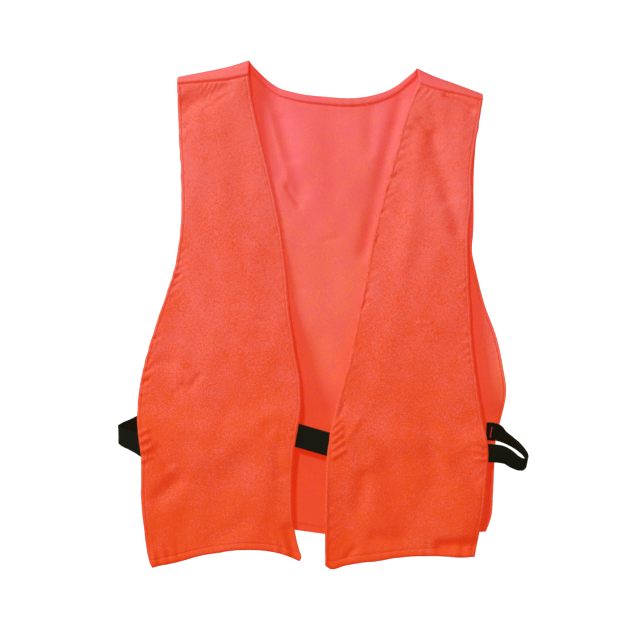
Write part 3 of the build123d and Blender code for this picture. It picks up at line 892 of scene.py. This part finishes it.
    # the facing, a strip that stands proud of the back's inside
    span = slice(at_left, at_right + 1)
    down = cells["from_top"][:, 0]
    deep, sewn_at = nearest(down, FACING) + 1, nearest(down, FACING - 1.2)
    below = down[:deep]
    proud = 1.7 + 0.7 * bell((below - 0.6 * FACING) / (0.4 * FACING))
    proud -= 0.9 * ease((below - FACING + 0.7) / 0.7)
    strip = main[:deep, span] - normals[:deep, span] * proud[:, None, None]
    strip[0] += (0, 0.35, 0.5)
    area, long = cut_size(strip)[1], neck.length * MM
    made["facing_cut"] = (long, area / long + FACING_TURN * MM), area + long * FACING_TURN * MM
    made["facing"] = grid_sheet("back_neck_facing_band", strip, CLOTH, BACK_LOOK)
    place, normal = main[sewn_at, span][1:-1], normals[sewn_at, span][1:-1]
    made["neck_stitches"] = [
        stitch_row("back_neck_stitches", strip[sewn_at, 1:-1], -normal, 2 * LIFT),
        stitch_row("back_neck_stitches_outside", place, normal),
    ]
    side = nearest(EDGE_STEPS, SEWN_EDGE)
    low = rows - 1 - nearest(HEM_STEPS, SEWN_HEM)
    along_side = slice(BARE_BACK_TOP, -BARE_HEM)
    sewn_lines = {
        "back_left_edge_stitches": (along_side, side),
        "back_right_edge_stitches": (along_side, columns - 1 - side),
        "back_hem_stitches": (low, slice(side, -side)),
    }
    shown = [stitch_row(name, main[at], normals[at]) for name, at in sewn_lines.items()]
    hidden = [inside_row(name, main[at], normals[at]) for name, at in sewn_lines.items()]
    made["side_stitches"], made["hem_stitches"] = shown[:2] + hidden[:2], [shown[2], hidden[2]]
    return made


back = back_panel()


# ---- shoulder seam allowances ----
SEAM_ALLOWANCE, SEAM_DEPTH = 8.0, 4.3  # below the seam, and behind the front's plane


def seam_allowance(side, ends):
    """The folded edges of cloth behind a shoulder seam."""
    is_left = side == "left"
    across = np.linspace(ends[0] + 1.5, ends[1] - 1.5, 60)
    down = np.linspace(-2.0, SEAM_ALLOWANCE - 1, 9)[:, None]
    x = across + 0 * down
    z = fold_line(x) - seam_drop(x, is_left) - down
    y = front_y(x, z) + SEAM_DEPTH + 0.25 * noise_line(x, 81 + is_left, 7) + 0.05 * down
    return grid_sheet(f"{side}_seam_allowance", np.stack([x, y, z], axis=-1), CLOTH, CLOTH_LOOK)


left_allowance = seam_allowance("left", LEFT_SEAM_ENDS)
right_allowance = seam_allowance("right", RIGHT_SEAM_ENDS)


# ---- elastic side straps ----
ELASTIC_WIDTH, ELASTIC = 25.0, 1.2  # and its thickness
CORD_DEPTH, CORD_PITCH = 0.12, 1.9  # of the rubber cords that show through it
# each place is x, y, z and how far the elastic's upper edge leans away from the viewer there
LEFT_STRAP = [(-229, 17.0, -491.5, 0), (-242, 16.4, -497.5, 0), (-255, 14, -504.5, 0),
              (-269, 8.5, -511, -0.1), (-281, 1.5, -515.5, -0.2), (-286.4, -7, -519, -0.2),
              (-281, -15, -522.5, -0.1), (-269, -22, -527, 0), (-256, -26.5, -533, 0),
              (-244, -28.2, -540, 0), (-238, -28.6, -542.5, 0)]
RIGHT_STRAP = [(234, 17.4, -516.6, 0), (241, 17.1, -517, 0), (248, 15.8, -518.4, -0.15),
               (258, 13, -524, -0.8), (270, 7, -531.5, -1.3), (279, 1, -538.5, -1.6),
               (285.5, -5, -546, -2.0), (288.3, -11, -553, -1.9), (287.8, -15.5, -558, -1.4),
               (284.5, -18.7, -560.8, -1.1), (279, -21, -560.7, -0.95), (270, -23.5, -557.2, -0.8),
               (259, -26, -549.8, -0.5), (249, -27.3, -545.8, -0.15), (240, -28, -544.6, 0),
               (219, -28.6, -544.4, 0)]
# each strap's path, which of its places its halves meet at, and the two places passed with its front half to
# bend()
STRAPS = {"left": (LEFT_STRAP, 5, 5, 9), "right": (RIGHT_STRAP, 4, 5, 11)}


def ribbon(path, width, columns):
    """A ribbon's middle surface along a path of (x, y, z, lean), and its columns' places across it."""
    curve = through(path)
    place = curve(np.linspace(0, 1, max(int(curve.length / 1.3), 8)))
    line, lean = place[:, :3], place[:, 3]
    along = np.gradient(line, axis=0)
    along /= np.linalg.norm(along, axis=1)[:, None]
    up = np.stack([0 * lean, lean, 1 + 0 * lean], axis=1)
    up -= along * (up * along).sum(axis=1)[:, None]
    up /= np.linalg.norm(up, axis=1)[:, None]
    across = np.linspace(-0.5, 0.5, columns) * width
    return line[:, None] + up[:, None] * across[:, None], across


def side_strap(side):
    """A side strap in two halves that meet at its turn: the back half and the front half."""
    path, turn = STRAPS[side][:2]
    points, across = ribbon(path, ELASTIC_WIDTH, 60)
    rows, columns = points.shape[:2]
    middle = int(np.argmin(np.abs(points[:, columns // 2] - path[turn][:3]).sum(axis=1)))
    flat, faces = points.reshape(-1, 3), grid_faces(rows, columns)
    cords = CORD_DEPTH * np.cos(2 * math.pi * across / CORD_PITCH)
    half = np.tile(0.5 * ELASTIC - 0.1 + cords, rows)
    names = [f"{side}_elastic_{part}_half" for part in ("back", "front")]
    shape = middle, columns, flat, faces, surface_normals(flat, faces), half, half
    return cut_in_two(names, *shape, ELASTIC_LOOK)


elastic = {side: side_strap(side) for side in STRAPS}
TACK, BACK_TACK, TACK_LIFT = 22.0, 15.0, 0.45  # heights, and the front ones' place before the cloth's middle
front_tacks, back_tacks = {}, {}
for side, panel, x_front, x_back in (("left", left, -244, -238), ("right", right, 223, 239)):
    path = STRAPS[side][0]
    z_front, z_back = path[-2][2], path[1][2] - 1
    heights = z_front + 0.5 * TACK, z_front - 0.5 * TACK
    ends = [(x_front, cloth_y(panel, x_front, z) - TACK_LIFT, z) for z in heights]
    front_tacks[side] = zigzag(f"{side}_front_tack", *ends, 2.6)
    inside = path[1][1] - 0.5 * ELASTIC - 0.3
    upper = x_back + 2.5, inside - 0.2, z_back + 0.5 * BACK_TACK
    back_tacks[side] = zigzag(f"{side}_back_tack", upper, (x_back, inside, z_back - 0.5 * BACK_TACK), 2.2)


# ---- hook-and-loop closure ----
CLOSURE_TILT, CLOSURE_CENTRE = math.radians(16.0), (-12.0, -526.0)
CLOSURE_WIDTH, WEBBING, TAPE = 32.0, 1.0, 0.8  # its width, and how thick the webbing and each tape are
TAB_BEND = -30.0, -8.0  # two places along the closure, passed with the tab to bend()
BOX_REACH = 13.0  # half the width of a box of stitching


def closure_place(along, depth, across):
    """A place by the closure: along the webbing, in depth behind the front panels, and across its width."""
    x = CLOSURE_CENTRE[0] + along * math.cos(CLOSURE_TILT) + across * math.sin(CLOSURE_TILT)
    z = CLOSURE_CENTRE[1] - along * math.sin(CLOSURE_TILT) + across * math.cos(CLOSURE_TILT)
    y = FRONT_Y + (z - TOP_Z) * FRONT_LEAN + 0.5 * CLOTH + depth
    return np.stack([x, y, z], axis=-1)


def band(name, stations, width, thick, material, rib=0.0, rib_pitch=1.6, step=0.9):
    """A flat band in the closure's own plane. stations are (along, depth of its middle)."""
    along = np.arange(stations[0][0], stations[-1][0] + step, step)[:, None]
    depth = softened(np.interp(along, *np.transpose(stations)), 2, 0)
    across = np.linspace(-0.5 * width, 0.5 * width, int(width / 0.8))
    points = closure_place(along + 0 * across, depth + 0 * across, across + 0 * along)
    ribs = rib * np.cos(2 * math.pi * along / rib_pitch) * np.ones_like(across)
    return grid_sheet(name, points, (0.5 * thick - rib + ribs).ravel(), material, turned=True)


# stations: how far along the closure, and how deep behind the front panels' inner face
WEBBING_RUN = [(-54, 2.4), (-34, 2.4), (-22, 3.5), (62, 3.5)]
HOOK_WIDTH, HOOK_RUN = 28.0, [(28, 2.6), (58, 2.6)]
LOOP_WIDTH, LOOP_RUN = 30.0, [(28, 1.7), (62, 1.7)]
webbing = band("closure_webbing", WEBBING_RUN, CLOSURE_WIDTH, WEBBING, WEBBING_LOOK, 0.12)
hook_band = band("closure_hook_band", HOOK_RUN, HOOK_WIDTH, TAPE, HOOK_LOOK, 0.1, 1.1, 0.5)
loop_band = band("closure_loop_band", LOOP_RUN, LOOP_WIDTH, TAPE, LOOP_LOOK, 0.06, 2.3, 0.8)


def stitch_box(name, low, high):
    """A box of stitching on a front panel by the closure, with its front face towards the viewer."""
    corners = [(low, -BOX_REACH), (high, -BOX_REACH), (high, BOX_REACH), (low, BOX_REACH), (low, -BOX_REACH)]
    spans = []
    for (a0, c0), (a1, c1) in zip(corners, corners[1:]):
        da, dc = a1 - a0, c1 - c0
        length = math.hypot(da, dc)
        for start in np.arange(0.4, length - STITCH, STITCH + STITCH_GAP):
            ends = [(a0 + da * run / length, c0 + dc * run / length) for run in (start, start + STITCH)]
            spans.append([closure_place(a, -0.5 * CLOTH, c) for a, c in ends] + [np.array((0, -1.0, 0))])
    return beads(name, spans, lift=BOX_LIFT)


tab_box = stitch_box("closure_tab_stitches", -51, -39)
loop_box = stitch_box("closure_loop_stitches", 34, 60)


# ---- the bodies that carry some pieces, and which CAD node each piece stands for ----
SHOULDER_BEND, FRONT_BEND = (0, 60), (84, 260)  # from the shoulder seam down, in millimetres: the spans passed to bend()


def metres(*place):
    return tuple(value * MM for value in place)


def finished(piece, look, *nodes):
    """The piece keeps the finish of its own material slot; look is not used. Hides the CAD nodes that it
    stands for.
    """
    if nodes:
        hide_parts(*nodes)


def bend(piece, first, second, start, end, look, *nodes):
    """Bakes the piece's transform into its mesh and hides its CAD nodes; first, second, start and end are not
    used.
    """
    finished(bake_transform(piece), look, *nodes)


def carried(piece, body, look, *nodes):
    """The piece moves with one body."""
    finished(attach(piece, body), look, *nodes)


for side, panel, allowance, seam_middle, downward in (
    ("left", left, left_allowance, (-153, -14, -24), (0.158, 0, -0.987)),
    ("right", right, right_allowance, (180, -15, -41), (-0.300, 0, -0.954)),
):
    shoulder, front, other = f"{side}_shoulder", f"{side}_front", "right" if side == "left" else "left"
    seam, down = np.array(seam_middle, float), np.array(downward)
    at_shoulder = "root", shoulder, *(seam + run * down for run in SHOULDER_BEND)
    below = shoulder, front, *(seam + run * down for run in FRONT_BEND)
    bend(panel["top"], *at_shoulder, "orange_cloth")
    bend(allowance, *at_shoulder, "orange_cloth", f"{side}_shoulder_seam")
    for piece in panel["top_stitches"]:
        bend(piece, *at_shoulder, "orange_thread")
    bend(panel["main"], *below, "orange_cloth", f"{side}_front_panel")
    nodes = {
        f"{front}_{side}_edge_stitches_main": [f"{side}_side_edge_stitching"],
        f"{front}_{other}_edge_stitches_main": [f"{side}_front_edge_stitching"],
        f"{front}_hem_stitches": [f"{side}_hem_stitching"],
    }
    for piece in panel["main_stitches"]:
        bend(piece, *below, "orange_thread", *nodes.get(piece.name, []))
    carried(front_tacks[side], front, "orange_thread", f"{side}_strap_front_tack")
    carried(back_tacks[side], "root", "orange_thread", f"{side}_strap_back_tack")
    (back_half, front_half), (path, turn, first, last) = elastic[side], STRAPS[side]
    bend(back_half, "root", shoulder, path[1][:3], path[turn][:3], "black_elastic", f"{side}_side_strap")
    bend(front_half, shoulder, front, path[first][:3], path[last][:3], "black_elastic")

carried(back["cloth"], "root", "orange_cloth", "back_panel")
carried(back["facing"], "root", "orange_cloth", "back_neck_facing")
for place in ("neck", "side", "hem"):
    outside, *others = back[f"{place}_stitches"]
    carried(outside, "root", "orange_thread", f"back_{place}_stitching")
    for piece in others:
        carried(piece, "root", "orange_thread")

start, end = (closure_place(along, 2.5, 0.0) for along in TAB_BEND)
bend(webbing, "left_front", "closure_flap", start, end, "black_webbing", "closure_tab_base", "closure_tab")
carried(hook_band, "closure_flap", "black_hook_tape", "hook_tape")
carried(loop_band, "right_front", "black_loop_tape", "loop_tape")
carried(tab_box, "left_front", "orange_thread", "closure_tab_stitching")
carried(loop_box, "right_front", "orange_thread", "loop_tape_stitching")


for side, (path, turn, *_) in STRAPS.items():
    for piece, part in zip(elastic[side], (path[: turn + 1], path[turn:])):
        metres(ELASTIC_WIDTH, through(part).length)


# ---- stage, light and camera ----
def studio_room(radius=7.0, floor_z=-1.15, corner=1.5, turns=48):
    """A white room with a rounded foot that the vest hangs in, seen by the camera but giving no light."""
    bends = np.linspace(0, math.pi / 2, 9)[1:]
    middle_r, middle_z = radius - corner, floor_z + corner
    profile = [(0.0, floor_z), (middle_r, floor_z)]
    profile += [(middle_r + corner * math.sin(a), middle_z - corner * math.cos(a)) for a in bends]
    profile += [(radius, 5.0), (0.0, 8.0)]
    angles = [2 * math.pi * k / turns for k in range(turns)]
    points = [(r * math.cos(a), r * math.sin(a), z) for r, z in profile for a in angles]
    numbers = np.arange(len(points)).reshape(-1, turns)
    beside = np.roll(numbers, -1, axis=1)
    faces = np.stack([numbers[:-1], beside[:-1], beside[1:], numbers[1:]], axis=-1).reshape(-1, 4)
    pale, bright = (0.9, 0.9, 0.9, 1), (1, 1, 1, 1)
    white = Nodes("studio_white", base_color=pale, emission_color=bright, emission_strength=1.0)
    room = new_object("studio_room", np.array(points) / MM, faces, white.material)
    for ray in ("diffuse", "glossy", "transmission", "shadow", "volume_scatter"):
        setattr(room, f"visible_{ray}", False)
    return room


studio_room()


def area_light(name, place, target, size, power, colour):
    """A square soft light aimed at a place."""
    lamp = bpy.data.lights.new(name, "AREA")
    lamp.size, lamp.energy, lamp.color = size, power, colour
    made = in_scene(name, lamp)
    made.location = place
    x, y, z = np.array(target) - np.array(place)
    made.rotation_euler = (math.atan2(math.hypot(x, y), -z), 0, math.atan2(x, -y) + math.pi)


area_light("key", (-0.4, -2.9, 0.25), (0, 0, -0.35), 0.2, 36, (1.0, 0.84, 0.72))
area_light("softbox", (-2.2, -1.5, 1.4), (0, 0, -0.3), 1.1, 120, (0.7, 0.96, 1.2))
area_light("back_fill", (0.9, 2.9, -0.1), (0, 0, -0.35), 1.0, 55, (1.0, 0.92, 0.86))

world = bpy.data.worlds.new("studio_world")
bpy.context.scene.world = world
world.use_nodes = True
background = world.node_tree.nodes["Background"]
background.inputs["Color"].default_value = (1, 1, 1, 1)
background.inputs["Strength"].default_value = 0.2

CAMERA_PLACE = (-0.0028, -2.51, -0.3584)  # level with the vest's middle, in front of it
lens = bpy.data.cameras.new("camera")
lens.lens, lens.sensor_width = 100, 36
camera = in_scene("camera", lens)
camera.location = CAMERA_PLACE
camera.rotation_euler = (math.pi / 2, 0, 0)
bpy.context.scene.camera = camera
bpy.context.scene.view_settings.view_transform = "Standard"
